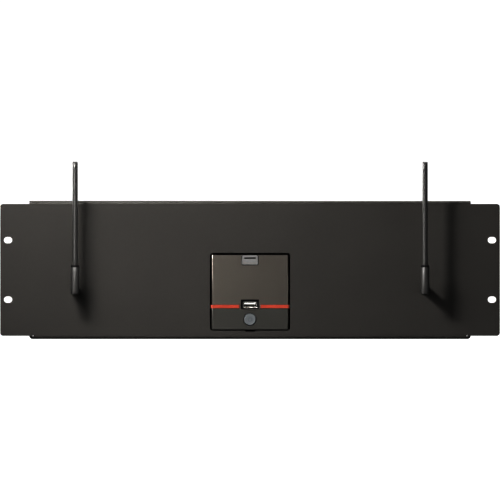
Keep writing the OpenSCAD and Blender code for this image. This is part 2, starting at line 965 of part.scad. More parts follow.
module whip_profile() {
    top = spigot_l + whip_reach - sleeve_top;
    square([spigot_d / 2, spigot_l + eps]);
    translate([0, spigot_l]) square([neck_d / 2, neck_l + eps]);
    polygon([
        [0, spigot_l + neck_l],
        [whip_d / 2, spigot_l + neck_l],
        [whip_d / 2, top - tip_l],
        [tip_d / 2, top - tip_r],
        [tip_d / 2 - tip_r, top],
        [0, top]
    ]);
    translate([tip_d / 2 - tip_r, top - tip_r]) circle(tip_r);
}

// Rubber ring in the groove between the sleeve and the whip
module sleeve_ring(side) color("#121212") at_pin(side) translate([0, 0, sleeve_top]) {
    difference() {
        cylinder(d = ring_d, h = neck_l);
        translate([0, 0, -1]) cylinder(d = neck_d, h = neck_l + 2);
    }
}

module antenna_whip(side) color("#35332f") at_pin(side) {
    translate([0, 0, sleeve_top - spigot_l]) difference() {
        rotate_extrude() intersection() {
            whip_profile();
            square([whip_d, 2 * whip_reach]);
        }
        translate([0, 0, -1]) cylinder(d = core_d + 0.1, h = whip_reach - sleeve_top + spigot_l - 7);
    }
}

module antenna_core(side) color("#b08d3c") at_pin(side) {
    translate([0, 0, sleeve_top - spigot_l + 0.2]) {
        cylinder(d = core_d, h = whip_reach - sleeve_top + spigot_l - 9);
    }
}

// The node that is drawn, or all of them

rack_shelf();
receiver_bracket();
clinch_nuts();
bracket_screws();
base_screws();
base_shell();
top_cover();
rear_panel();
rear_panel_screws();
upper_fascia();
lower_fascia();
badge();
light_strip(-1);  // light_strip_left
light_strip(1);  // light_strip_right
foam_seal();
usb_bezel();
usb_shell();
usb_tongue();
usb_contacts();
power_button();
power_switch();
front_board();
board_link();
strip_leds();
main_board();
board_screws();
processor();
heat_sink();
wifi_module();
memory_chips();
capacitors();
ethernet_socket();
ethernet_contacts();
video_socket();
video_tongue();
dc_inlet();
dc_pin();
audio_socket();
reset_switch();
reset_button();
antenna_socket(-1);  // antenna_socket_left
antenna_socket(1);  // antenna_socket_right
antenna_socket_nuts();
jack_washers();
jack_nuts();
coupling_nuts();
panel_jack(-1);  // panel_jack_left
swivel(-1);  // swivel_left
hinge_pin(-1);  // hinge_pin_left
antenna_sleeve(-1);  // antenna_sleeve_left
sleeve_ring(-1);  // sleeve_ring_left
antenna_whip(-1);  // antenna_whip_left
antenna_core(-1);  // antenna_core_left
panel_jack(1);  // panel_jack_right
swivel(1);  // swivel_right
hinge_pin(1);  // hinge_pin_right
antenna_sleeve(1);  // antenna_sleeve_right
sleeve_ring(1);  // sleeve_ring_right
antenna_whip(1);  // antenna_whip_right
antenna_core(1);  // antenna_core_right
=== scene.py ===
"""Looks of a wireless receiver in a three-unit rack shelf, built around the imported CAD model.

Metres. +X runs across the panel, +Y into the rack and +Z up; the front faces -Y.
"""
import json
import math

import bmesh
import bpy
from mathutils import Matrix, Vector


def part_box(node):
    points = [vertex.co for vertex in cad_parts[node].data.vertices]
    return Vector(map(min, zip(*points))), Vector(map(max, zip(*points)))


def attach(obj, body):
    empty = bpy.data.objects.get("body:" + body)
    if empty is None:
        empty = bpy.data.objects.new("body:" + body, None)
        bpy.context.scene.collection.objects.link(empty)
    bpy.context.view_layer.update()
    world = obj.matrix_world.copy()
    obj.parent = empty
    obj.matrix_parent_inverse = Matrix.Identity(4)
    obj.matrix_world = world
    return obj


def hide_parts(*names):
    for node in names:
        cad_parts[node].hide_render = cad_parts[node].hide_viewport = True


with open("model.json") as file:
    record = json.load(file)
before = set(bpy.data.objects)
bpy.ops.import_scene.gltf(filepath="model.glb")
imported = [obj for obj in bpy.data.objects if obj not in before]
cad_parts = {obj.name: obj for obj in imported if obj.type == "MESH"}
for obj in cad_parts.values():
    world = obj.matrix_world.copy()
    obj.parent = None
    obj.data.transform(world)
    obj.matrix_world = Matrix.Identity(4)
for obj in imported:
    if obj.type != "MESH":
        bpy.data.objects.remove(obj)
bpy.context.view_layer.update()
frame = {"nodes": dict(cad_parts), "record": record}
NODES = frame["nodes"]

MM = 0.001
TURN = 2 * math.pi
SIDES = ("left", "right")

# Camera: square to the panel and level, through a very long lens
EYE_DISTANCE = 22.0
EYE_HEIGHT = 19.1 * MM
VIEW_WIDTH = 480.6 * MM
SENSOR = 36.0

# How much steeper than life the picture's tones run
CONTRAST = 2.2


# ---------------------------------------------------------------- frame helpers

def low(name):
    return Vector(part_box(name)[0])


def high(name):
    return Vector(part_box(name)[1])


def middle(name):
    return (low(name) + high(name)) / 2


# ---------------------------------------------------------------- mesh helpers

RING_STEPS = 48


def new_object(name, bm, smooth_angle=40):
    """Puts a bmesh into a new object, with shading split at edges sharper than the angle."""
    bmesh.ops.recalc_face_normals(bm, faces=bm.faces)
    limit = math.radians(smooth_angle)
    for edge in bm.edges:
        edge.smooth = edge.calc_face_angle(0.0) < limit
    for face in bm.faces:
        face.smooth = True
    mesh = bpy.data.meshes.new(name)
    bm.to_mesh(mesh)
    bm.free()
    obj = bpy.data.objects.new(name, mesh)
    bpy.context.scene.collection.objects.link(obj)
    return obj


def bridge(bm, a, b):
    """Quads between two loops of the same length."""
    count = len(a)
    for i in range(count):
        j = (i + 1) % count
        bm.faces.new((a[i], a[j], b[j], b[i]))


def loft(bm, loops, cap_start=True, cap_end=True, closed=False):
    """A skin through several loops; closed joins the last loop to the first."""
    rings = [[bm.verts.new(point) for point in loop] for loop in loops]
    for a, b in zip(rings, rings[1:]):
        bridge(bm, a, b)
    if closed:
        bridge(bm, rings[-1], rings[0])
        return
    if cap_start:
        bm.faces.new(list(reversed(rings[0])))
    if cap_end:
        bm.faces.new(rings[-1])


def circle_y(centre, radius, y, steps=RING_STEPS):
    """A ring about an axis along Y."""
    return [
        Vector((
            centre.x + radius * math.cos(TURN * i / steps),
            y,
            centre.z + radius * math.sin(TURN * i / steps),
        ))
        for i in range(steps)
    ]


def circle_z(centre, radius, z):
    """A ring about an axis along Z."""
    return [
        Vector((
            centre.x + radius * math.cos(TURN * i / RING_STEPS),
            centre.y + radius * math.sin(TURN * i / RING_STEPS),
            z,
        ))
        for i in range(RING_STEPS)
    ]


def rounded_y(centre, width, height, radius, y):
    """A rounded rectangle in a plane of constant y."""
    points = []
    steps = 6
    corners = ((1, 1, 0.0), (-1, 1, 0.25), (-1, -1, 0.5), (1, -1, 0.75))
    for sx, sz, start in corners:
        cx = centre.x + sx * (width / 2 - radius)
        cz = centre.z + sz * (height / 2 - radius)
        for i in range(steps + 1):
            angle = TURN * (start + 0.25 * i / steps)
            points.append(Vector((cx + radius * math.cos(angle), y, cz + radius * math.sin(angle))))
    return points


def lathe_y(bm, centre, profile, steps=RING_STEPS, ends=(True, True)):
    """Turns (radius, y) points about an axis along Y."""
    loft(bm, [circle_y(centre, r, y, steps) for r, y in profile], ends[0], ends[1])


def thread_y(bm, centre, radius, depth, pitch, y0, y1):
    """A right-handed screw thread as one helical skin about an axis along Y."""
    rows_a_turn = 8
    rows = max(2, round((y1 - y0) / pitch * rows_a_turn))
    rings = []
    for row in range(rows + 1):
        y = y0 + (y1 - y0) * row / rows
        fade = min(1.0, (y - y0) / pitch, (y1 - y) / pitch)
        ring = []
        for i in range(RING_STEPS):
            phase = (y / pitch - i / RING_STEPS) % 1.0
            ridge = 1.0 - abs(2.0 * phase - 1.0)
            r = radius - depth * (1.0 - ridge * max(0.0, fade))
            angle = TURN * i / RING_STEPS
            ring.append((centre.x + r * math.cos(angle), y, centre.z + r * math.sin(angle)))
        rings.append(ring)
    loft(bm, rings, False, False)


def refine(name, width):
    """Welds a CAD node's split faces, clears its flat faces of needless edges and rounds its rims."""
    obj = NODES[name]
    weld = obj.modifiers.new("weld", "WELD")
    weld.merge_threshold = 1e-6
    flat = obj.modifiers.new("flat", "DECIMATE")
    flat.decimate_type = "DISSOLVE"
    flat.angle_limit = math.radians(0.6)
    rim = obj.modifiers.new("rim", "BEVEL")
    rim.width = width
    rim.segments = 2
    rim.limit_method = "ANGLE"
    rim.angle_limit = math.radians(32)
    rim.harden_normals = True
    rim.miter_outer = "MITER_ARC"


# ---------------------------------------------------------------- material helpers

def new_material(name):
    mat = bpy.data.materials.new(name)
    mat.use_nodes = True
    tree = mat.node_tree
    return mat, tree, tree.nodes["Principled BSDF"]


def coordinates(tree, stretch=(1, 1, 1)):
    """The piece's own coordinates, in metres, stretched for directional grain."""
    coords = tree.nodes.new("ShaderNodeTexCoord")
    mapping = tree.nodes.new("ShaderNodeMapping")
    mapping.inputs["Scale"].default_value = stretch
    tree.links.new(coords.outputs["Object"], mapping.inputs["Vector"])
    return mapping.outputs["Vector"]


def noise(tree, scale, detail=3.0, stretch=(1, 1, 1)):
    tex = tree.nodes.new("ShaderNodeTexNoise")
    tex.inputs["Scale"].default_value = scale
    tex.inputs["Detail"].default_value = detail
    tex.inputs["Roughness"].default_value = 0.55
    tree.links.new(coordinates(tree, stretch), tex.inputs["Vector"])
    return tex.outputs["Fac"]


def cells(tree, scale):
    tex = tree.nodes.new("ShaderNodeTexVoronoi")
    tex.feature = "SMOOTH_F1"
    tex.inputs["Scale"].default_value = scale
    tree.links.new(coordinates(tree), tex.inputs["Vector"])
    return tex.outputs["Distance"]


def spread(tree, source, to_min, to_max, from_min=0.3, from_max=0.7):
    """Stretches the middle of a texture's range to the values that are wanted."""
    ranged = tree.nodes.new("ShaderNodeMapRange")
    ranged.inputs["From Min"].default_value = from_min
    ranged.inputs["From Max"].default_value = from_max
    ranged.inputs["To Min"].default_value = to_min
    ranged.inputs["To Max"].default_value = to_max
    tree.links.new(source, ranged.inputs["Value"])
    return ranged.outputs["Result"]


def two_tone(tree, source, dark, light):
    """A colour between two, by a value from 0 to 1."""
    mix = tree.nodes.new("ShaderNodeMix")
    mix.data_type = "RGBA"
    mix.inputs["A"].default_value = (*dark, 1)
    mix.inputs["B"].default_value = (*light, 1)
    tree.links.new(source, mix.inputs["Factor"])
    return mix.outputs["Result"]


def shade(colour, factor):
    return tuple(min(1.0, c * factor) for c in colour)


def bump(tree, height, distance, strength=1.0, below=None):
    node = tree.nodes.new("ShaderNodeBump")
    node.inputs["Distance"].default_value = distance
    node.inputs["Strength"].default_value = strength
    tree.links.new(height, node.inputs["Height"])
    if below is not None:
        tree.links.new(below, node.inputs["Normal"])
    return node.outputs["Normal"]


def edge_mask(tree, radius):
    """Near 1 along convex and concave edges, from how far a rounded normal leans off the true one."""
    rounded = tree.nodes.new("ShaderNodeBevel")
    rounded.samples = 4
    rounded.inputs["Radius"].default_value = radius
    true = tree.nodes.new("ShaderNodeNewGeometry")
    dot = tree.nodes.new("ShaderNodeVectorMath")
    dot.operation = "DOT_PRODUCT"
    tree.links.new(rounded.outputs["Normal"], dot.inputs[0])
    tree.links.new(true.outputs["Normal"], dot.inputs[1])
    return spread(tree, dot.outputs["Value"], 1.0, 0.0, 0.8, 0.995)


def worn(tree, colour, wear, radius, amount):
    """Lightens a colour along its edges, broken up so that it looks rubbed."""
    patchy = tree.nodes.new("ShaderNodeMath")
    patchy.operation = "MULTIPLY"
    tree.links.new(edge_mask(tree, radius), patchy.inputs[0])
    tree.links.new(spread(tree, noise(tree, 160), 0.0, amount), patchy.inputs[1])
    mix = tree.nodes.new("ShaderNodeMix")
    mix.data_type = "RGBA"
    mix.inputs["B"].default_value = (*wear, 1)
    tree.links.new(patchy.outputs["Value"], mix.inputs["Factor"])
    tree.links.new(colour, mix.inputs["A"])
    return mix.outputs["Result"]


def finish(
    name, base, roughness, metallic=0.0, specular=0.5, mottle=0.08, mottle_scale=22,
    uneven=0.06, uneven_scale=60, grain_scale=1500, grain=0.02 * MM, stretch=(1, 1, 1),
    wear=None, wear_radius=0.5 * MM, wear_amount=0.35,
):
    """A finish with colour mottling, uneven gloss, a fine grain and, if asked, rubbed edges."""
    mat, tree, surface = new_material(name)
    tone = spread(tree, noise(tree, mottle_scale, 4.0, stretch), 0.0, 1.0)
    colour = two_tone(tree, tone, shade(base, 1 - mottle), shade(base, 1 + mottle))
    if wear is not None:
        colour = worn(tree, colour, wear, wear_radius, wear_amount)
    tree.links.new(colour, surface.inputs["Base Color"])
    gloss = noise(tree, uneven_scale, 3.0, stretch)
    gloss = spread(tree, gloss, roughness - uneven, roughness + uneven)
    tree.links.new(gloss, surface.inputs["Roughness"])
    surface.inputs["Metallic"].default_value = metallic
    surface.inputs["Specular IOR Level"].default_value = specular
    height = noise(tree, grain_scale, 2.0, stretch)
    tree.links.new(bump(tree, height, grain), surface.inputs["Normal"])
    return mat


# ---------------------------------------------------------------- materials

def powder_coat():
    """Black powder coat: a pebbled skin over a very slight orange peel."""
    mat, tree, surface = new_material("panel_paint")
    base = (0.046, 0.0443, 0.0420)
    tone = spread(tree, noise(tree, 9, 5.0), 0.0, 1.0)
    colour = two_tone(tree, tone, shade(base, 0.94), shade(base, 1.06))
    colour = worn(tree, colour, (0.11, 0.105, 0.10), 0.45 * MM, 0.3)
    tree.links.new(colour, surface.inputs["Base Color"])
    gloss = spread(tree, noise(tree, 400, 2.0), 0.46, 0.58)
    tree.links.new(gloss, surface.inputs["Roughness"])
    surface.inputs["Specular IOR Level"].default_value = 0.22
    peel = bump(tree, cells(tree, 420), 0.02 * MM, 0.5)
    pebble = bump(tree, noise(tree, 1500, 3.0), 0.03 * MM, 0.6, peel)
    tree.links.new(pebble, surface.inputs["Normal"])
    return mat


def light_guide():
    """Red translucent bar, lit from behind, its glow a little brighter and darker in soft random
    patches.
    """
    mat, tree, surface = new_material("red_light_guide")
    red = (0.15, 0.03, 0.018)
    glow = (0.6, 0.28, 0.21)
    tone = spread(tree, noise(tree, 90, 2.0), 0.0, 1.0)
    colour = two_tone(tree, tone, shade(red, 0.93), shade(red, 1.05))
    tree.links.new(colour, surface.inputs["Base Color"])
    lit = two_tone(tree, tone, shade(glow, 0.9), shade(glow, 1.08))
    tree.links.new(lit, surface.inputs["Emission Color"])
    surface.inputs["Emission Strength"].default_value = 0.375
    gloss = spread(tree, noise(tree, 300), 0.3, 0.4)
    tree.links.new(gloss, surface.inputs["Roughness"])
    return mat


def foam():
    """Closed-cell foam, with open pores where it was cut."""
    mat, tree, surface = new_material("black_foam")
    tone = spread(tree, cells(tree, 1800), 0.0, 1.0, 0.1, 0.6)
    colour = two_tone(tree, tone, (0.004, 0.004, 0.004), (0.0085, 0.0085, 0.008))
    tree.links.new(colour, surface.inputs["Base Color"])
    gloss = spread(tree, noise(tree, 500), 0.85, 0.98)
    tree.links.new(gloss, surface.inputs["Roughness"])
    surface.inputs["Specular IOR Level"].default_value = 0.15
    tree.links.new(bump(tree, cells(tree, 1800), 0.15 * MM), surface.inputs["Normal"])
    return mat


def circuit_board():
    """Green solder mask over faint copper tracks."""
    mat, tree, surface = new_material("circuit_board")
    tracks = tree.nodes.new("ShaderNodeTexBrick")
    tracks.inputs["Scale"].default_value = 90
    tracks.inputs["Mortar Size"].default_value = 0.06
    tracks.inputs["Color1"].default_value = (0.006, 0.055, 0.022, 1)
    tracks.inputs["Color2"].default_value = (0.008, 0.07, 0.028, 1)
    tracks.inputs["Mortar"].default_value = (0.015, 0.11, 0.045, 1)
    tree.links.new(coordinates(tree, (2, 1, 1)), tracks.inputs["Vector"])
    tree.links.new(tracks.outputs["Color"], surface.inputs["Base Color"])
    gloss = spread(tree, noise(tree, 200), 0.25, 0.4)
    tree.links.new(gloss, surface.inputs["Roughness"])
    tree.links.new(bump(tree, tracks.outputs["Fac"], 0.03 * MM), surface.inputs["Normal"])
    return mat


def button_mark():
    """The sign on the button, a little darker than the button itself."""
    return finish("button_mark", base=(0.058, 0.061, 0.066), roughness=0.35, mottle=0.03)


def make_materials():
    made = {
        "panel_paint": powder_coat(),
        "red_light_guide": light_guide(),
        "black_foam": foam(),
        "circuit_board": circuit_board(),
    }
    across = (1, 1, 14)
    plain = {
        "zinc_steel": dict(
            base=(0.56, 0.56, 0.55), roughness=0.34, metallic=1.0, uneven=0.08,
            grain_scale=900, grain=0.01 * MM, wear=(0.8, 0.8, 0.78)),
        "black_steel": dict(
            base=(0.022, 0.022, 0.0225), roughness=0.38, metallic=0.6, uneven=0.07,
            wear=(0.16, 0.155, 0.15), wear_radius=0.25 * MM),
        "housing_plastic": dict(
            base=(0.042, 0.042, 0.0435), roughness=0.6, specular=0.35,
            grain_scale=2400, grain=0.04 * MM),
        "fascia_metal": dict(
            base=(0.262, 0.247, 0.228), roughness=0.36, metallic=1.0, mottle=0.01,
            uneven=0.006, grain_scale=2600, grain=0.012 * MM),
        "fascia_dark": dict(
            base=(0.08, 0.079, 0.0745), roughness=0.42, metallic=0.5, specular=0.3,
            mottle=0.015, uneven=0.015, grain_scale=2600, grain=0.015 * MM),
        "badge_metal": dict(
            base=(0.17, 0.17, 0.168), roughness=0.54, metallic=0.7, mottle=0.12,
            mottle_scale=260, uneven_scale=700, grain_scale=1200, grain=0.008 * MM,
            stretch=across),
        "black_plastic": dict(
            base=(0.012, 0.012, 0.012), roughness=0.48, specular=0.4, grain_scale=2200),
        "bright_nickel": dict(
            base=(0.42, 0.415, 0.4), roughness=0.42, metallic=0.65, mottle=0.04,
            grain_scale=1800, grain=0.006 * MM, stretch=(1, 8, 1)),
        "white_plastic": dict(
            base=(0.34, 0.34, 0.333), roughness=0.5, mottle=0.03, grain_scale=1800),
        "gold_contact": dict(
            base=(0.86, 0.6, 0.24), roughness=0.24, metallic=1.0, stretch=(1, 6, 1)),
        "gold_plate": dict(
            base=(0.82, 0.58, 0.25), roughness=0.28, metallic=1.0, mottle=0.06,
            wear=(0.95, 0.8, 0.5), wear_radius=0.2 * MM),
        "button_plastic": dict(
            base=(0.103, 0.109, 0.113), roughness=0.42, specular=0.4,
            mottle=0.03, grain_scale=2400, grain=0.012 * MM),
        "led_resin": dict(
            base=(0.85, 0.82, 0.7), roughness=0.2, grain_scale=900),
        "sink_aluminium": dict(
            base=(0.3, 0.31, 0.33), roughness=0.4, metallic=0.9,
            grain_scale=700, stretch=(1, 1, 9)),
        "tin_can": dict(
            base=(0.62, 0.63, 0.64), roughness=0.34, metallic=1.0, uneven=0.1,
            mottle=0.07, grain_scale=800, stretch=(6, 1, 1)),
        "antenna_plastic": dict(
            base=(0.026, 0.0255, 0.0245), roughness=0.54, specular=0.8, mottle=0.06,
            uneven=0.03, grain_scale=2200, grain=0.01 * MM),
        "black_rubber": dict(
            base=(0.016, 0.016, 0.016), roughness=0.7, specular=0.3,
            grain_scale=2600, grain=0.03 * MM),
        "brass_wire": dict(
            base=(0.7, 0.48, 0.2), roughness=0.3, metallic=1.0, stretch=(1, 1, 8)),
    }
    for name, values in plain.items():
        made[name] = finish(name, **values)
    return made


MATERIALS = make_materials()
SLOT_OF = {row["node"]: row["material_slot"] for row in frame["record"]["subparts"]}


def dress(obj, slot_name):
    """Gives a piece one of the finishes."""
    obj.data.materials.clear()
    obj.data.materials.append(MATERIALS[slot_name])


def settle(piece, body, node):
    """Dresses a new piece as its CAD node, makes it ride, and hides the node that it stands for."""
    slot_name = SLOT_OF[node]
    dress(piece, slot_name)
    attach(piece, body)
    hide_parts(node)


def add_detail(piece, slot_name, body):
    """Dresses a small piece that the CAD model has no node for, and makes it ride."""
    dress(piece, slot_name)
    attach(piece, body)


def dress_nodes():
    for name, obj in NODES.items():
        for index in range(len(obj.material_slots)):
            obj.material_slots[index].link = "OBJECT"
            obj.material_slots[index].material = MATERIALS[SLOT_OF[name]]


# ---------------------------------------------------------------- rims of the CAD nodes

RIMS_MM = {
    "rack_shelf": 0.22,
    "receiver_bracket": 0.2,
    "clinch_nuts": 0.25,
    "bracket_screws": 0.12,
    "base_screws": 0.3,
    "base_shell": 0.35,
    "top_cover": 0.35,
    "rear_panel": 0.35,
    "rear_panel_screws": 0.3,
    "upper_fascia": 0.12,
    "lower_fascia": 0.15,
    "light_strip_left": 0.35,
    "light_strip_right": 0.35,
    "usb_bezel": 0.25,
    "usb_tongue": 0.12,
    "usb_contacts": 0.04,
    "heat_sink": 0.15,
    "wifi_module": 0.3,
    "processor": 0.12,
    "memory_chips": 0.12,
    "capacitors": 0.5,
    "ethernet_socket": 0.15,
    "video_tongue": 0.12,
    "dc_inlet": 0.25,
    "dc_pin": 0.4,
    "audio_socket": 0.25,
    "reset_button": 0.2,
    "antenna_socket_nuts": 0.2,
    "jack_washers": 0.12,
    "jack_nuts": 0.25,
    "coupling_nuts": 0.12,
}
ANTENNA_RIMS_MM = {
    "swivel": 0.25,
    "hinge_pin": 0.15,
    "sleeve_ring": 0.3,
    "antenna_sleeve": 0.3,
}


def round_rims():
    for name, width in RIMS_MM.items():
        refine(name, width * MM)
    for name, width in ANTENNA_RIMS_MM.items():
        for side in SIDES:
            refine(f"{name}_{side}", width * MM)


# ---------------------------------------------------------------- antennas

def whip_ring(centre, radius, drop, z):
    """A ring about the whip's axis whose front has moved back by the drop, while its back stays put."""
    half_depth = radius - drop / 2
    ring = []
    for i in range(RING_STEPS):
        angle = TURN * i / RING_STEPS
        x = centre.x + radius * math.cos(angle)
        y = centre.y + drop / 2 + half_depth * math.sin(angle)
        ring.append(Vector((x, y, z)))
    return ring


def whip_tip(centre, radius, tip):
    """Rings whose front leans back along a wide arc and then rolls over the top along a tight one."""
    wide, tight = 14 * MM, 3 * MM
    lean, roll = math.radians(28), math.radians(76)
    crown, below, narrowest, inset = 0.06 * MM, 0.5 * MM, 0.25 * MM, 0.6 * MM
    top_of_wide = tip - crown - tight * (math.sin(roll) - math.sin(lean))
    foot_of_wide = top_of_wide - wide * math.sin(lean)
    rings = [circle_z(centre, radius, foot_of_wide - below)]
    steps = 12
    for i in range(steps + 1):
        turn = lean * i / steps
        drop = wide * (1 - math.cos(turn))
        rings.append(whip_ring(centre, radius, drop, foot_of_wide + wide * math.sin(turn)))
    for i in range(1, steps + 1):
        turn = lean + (roll - lean) * i / steps
        rolled = drop + tight * (math.cos(lean) - math.cos(turn))
        narrowing = narrowest * (i / steps) ** 3
        rise = tight * (math.sin(turn) - math.sin(lean))
        rings.append(whip_ring(centre, radius - narrowing, rolled, top_of_wide + rise))
    rings.append(whip_ring(centre, radius - inset, rolled + below, tip))
    return rings


def make_whip(side):
    """A rod whose front leans back at the tip, on the spigot that the sleeve holds."""
    node = f"antenna_whip_{side}"
    ring = f"sleeve_ring_{side}"
    centre = middle(node)
    radius = (high(node).x - low(node).x) / 2
    foot, tip = low(node).z, high(node).z
    groove_low, groove_high = low(ring).z, high(ring).z
    spigot, neck = 1.8 * MM, 2.0 * MM
    edge = 0.3 * MM
    rings = [
        circle_z(centre, spigot - edge, foot),
        circle_z(centre, spigot, foot + edge),
        circle_z(centre, spigot, groove_low),
        circle_z(centre, neck, groove_low),
        circle_z(centre, neck, groove_high),
        circle_z(centre, radius - edge, groove_high),
        circle_z(centre, radius - 0.1 * edge, groove_high + 0.5 * edge),
        circle_z(centre, radius, groove_high + edge),
        circle_z(centre, radius, groove_high + 3 * edge),
    ]
    bm = bmesh.new()
    loft(bm, rings + whip_tip(centre, radius, tip))
    settle(new_object(f"whip_{side}", bm, 50), f"{side}_antenna", node)


# ---------------------------------------------------------------- coaxial jacks

def make_jack(name, node, shoulder_y, shoulder_t, mouths):
    """A threaded barrel with a chamfered hexagonal shoulder and a contact in each open mouth."""
    centre = middle(node)
    start, end = low(node).y, high(node).y
    radius, pitch, depth = 3.175 * MM, 25.4 / 36 * MM, 0.38 * MM
    root = radius - depth
    bore, deep = 2.35 * MM, 4 * MM
    pin, recess = 0.45 * MM, 0.6 * MM
    bm = bmesh.new()
    thread_y(bm, centre, radius, depth, pitch, start, end)
    for y, inward, is_open in ((start, 1, mouths[0]), (end, -1, mouths[1])):
        if is_open:
            rings = [(root, y), (bore, y), (bore, y + inward * deep)]
        else:
            rings = [(root, y), (root / 2, y)]
        lathe_y(bm, centre, rings, ends=(False, True))
        if is_open:
            tip = y + inward * recess
            profile = [(pin, y + inward * deep), (pin, tip + inward * 0.2 * MM), (pin * 0.5, tip)]
            lathe_y(bm, centre, profile, 16, (False, True))
    across_flats, chamfer = 8 * MM, 0.3 * MM
    corner = across_flats / 2 / math.cos(math.pi / 6)
    hexagon = [
        (corner - chamfer, shoulder_y),
        (corner, shoulder_y + chamfer),
        (corner, shoulder_y + shoulder_t - chamfer),
        (corner - chamfer, shoulder_y + shoulder_t),
    ]
    lathe_y(bm, centre, hexagon, 6)
    settle(new_object(name, bm), "chassis", node)


def make_jacks():
    panel_back, panel_shoulder = 0.0, 2.5 * MM
    receiver_back, receiver_shoulder = high("rear_panel").y, 2 * MM
    for side in SIDES:
        make_jack(
            f"feedthrough_{side}", f"panel_jack_{side}", panel_back, panel_shoulder, (True, True))
        make_jack(
            f"rear_coax_{side}", f"antenna_socket_{side}", receiver_back, receiver_shoulder,
            (False, True))


# ---------------------------------------------------------------- receiver's face

BADGE_CORNER = 1.2 * MM


def make_usb_shell():
    """Folded plate with rounded corners and a flared lip, and three spring tabs that rise inside it."""
    centre, front, rear = middle("usb_shell"), low("usb_shell").y, high("usb_shell").y
    size = high("usb_shell") - low("usb_shell")
    wall, lip = 0.3 * MM, 0.22 * MM
    outer, inner = 0.75 * MM, 0.45 * MM
    bm = bmesh.new()
    loops = [
        rounded_y(centre, size.x, size.z, outer, rear),
        rounded_y(centre, size.x, size.z, outer, front + 0.5 * MM),
        rounded_y(centre, size.x + lip, size.z + lip, outer, front + 0.12 * MM),
        rounded_y(centre, size.x + lip - 0.16 * MM, size.z + lip - 0.16 * MM, outer, front),
        rounded_y(centre, size.x - wall, size.z - wall, inner, front + 0.05 * MM),
        rounded_y(centre, size.x - 2 * wall, size.z - 2 * wall, inner, front + 0.5 * MM),
        rounded_y(centre, size.x - 2 * wall, size.z - 2 * wall, inner, rear),
    ]
    loft(bm, loops, closed=True)
    aside, narrow, broad = 4.7 * MM, 1.9 * MM, 4.8 * MM
    floor_z = low("usb_shell").z + wall
    for offset, width in ((-aside, narrow), (0, broad), (aside, narrow)):
        spring_tab(bm, Vector((centre.x + offset, front + wall, floor_z)), width)
    settle(new_object("usb_shell_formed", bm), "chassis", "usb_shell")


def spring_tab(bm, foot, width):
    """A thin strip that rises from the floor, bends level and presses on a plug from below."""
    run, rise, thick, steps = 3.4 * MM, 1.35 * MM, 0.12 * MM, 10
    across = Vector((width / 2, 0, 0))
    loops = []
    for i in range(steps + 1):
        part = i / steps
        spot = foot + Vector((0, run * part, rise * math.sin(TURN / 4 * part)))
        under = spot - Vector((0, 0, thick))
        loops.append([under - across, under + across, spot + across, spot - across])
    loft(bm, loops)


def make_badge():
    """A blank plate with a raised rim round a slightly sunk field."""
    centre, front, rear = middle("badge"), low("badge").y, high("badge").y
    size = high("badge") - low("badge")
    round_off, rim, sunk = 0.18 * MM, 0.45 * MM, 0.12 * MM
    inner_corner = BADGE_CORNER - rim
    shoulder = 0.12 * MM
    loops = [
        rounded_y(centre, size.x, size.z, BADGE_CORNER, rear),
        rounded_y(centre, size.x, size.z, BADGE_CORNER, front + round_off),
        rounded_y(centre, size.x - shoulder, size.z - shoulder, BADGE_CORNER, front + 0.05 * MM),
        rounded_y(centre, size.x - 2 * round_off, size.z - 2 * round_off, BADGE_CORNER, front),
        rounded_y(centre, size.x - 2 * rim, size.z - 2 * rim, inner_corner, front),
        rounded_y(centre, size.x - 2.5 * rim, size.z - 2.5 * rim, inner_corner, front + sunk),
        rounded_y(centre, size.x - 3 * rim, size.z - 3 * rim, inner_corner, front + sunk),
    ]
    bm = bmesh.new()
    loft(bm, loops)
    settle(new_object("blank_badge", bm, 24), "chassis", "badge")
    make_badge_inlay(centre + Vector((0, 0, 0.19 * size.z)), front)
    # painted shade: a black ring laid in the gap round the badge
    make_badge_gap_shade(centre, size, front)


def make_badge_inlay(centre, front):
    """A plain dark bar set in the badge's field."""
    width, height, ease = 11.2 * MM, 1.3 * MM, 0.2 * MM
    corner, top_corner = 0.6 * MM, 0.5 * MM
    bm = bmesh.new()
    loft(bm, [
        rounded_y(centre, width, height, corner, front + 0.2 * MM),
        rounded_y(centre, width, height, corner, front + 0.07 * MM),
        rounded_y(centre, width - ease, height - ease, top_corner, front + 0.03 * MM),
    ])
    add_detail(new_object("badge_inlay", bm), "black_plastic", "chassis")


def make_badge_gap_shade(centre, size, front):
    """Painted shade: a black ring that fills the gap between the badge and the edge of its pocket,
    where there is only shade.
    """
    wide, above = 0.55 * MM, 0.15 * MM
    top, bottom = front + 0.27 * MM, front + 0.5 * MM
    outer_centre = centre + Vector((0, 0, (above - wide) / 2))
    outer_w, outer_h, outer_corner = size.x + 2 * wide, size.z + wide + above, 1.4 * MM
    bm = bmesh.new()
    loft(bm, [
        rounded_y(outer_centre, outer_w, outer_h, outer_corner, bottom),
        rounded_y(outer_centre, outer_w, outer_h, outer_corner, top),
        rounded_y(centre, size.x, size.z, BADGE_CORNER, top),
        rounded_y(centre, size.x, size.z, BADGE_CORNER, bottom),
    ], closed=True)
    add_detail(new_object("badge_gap_shade", bm), "black_rubber", "chassis")


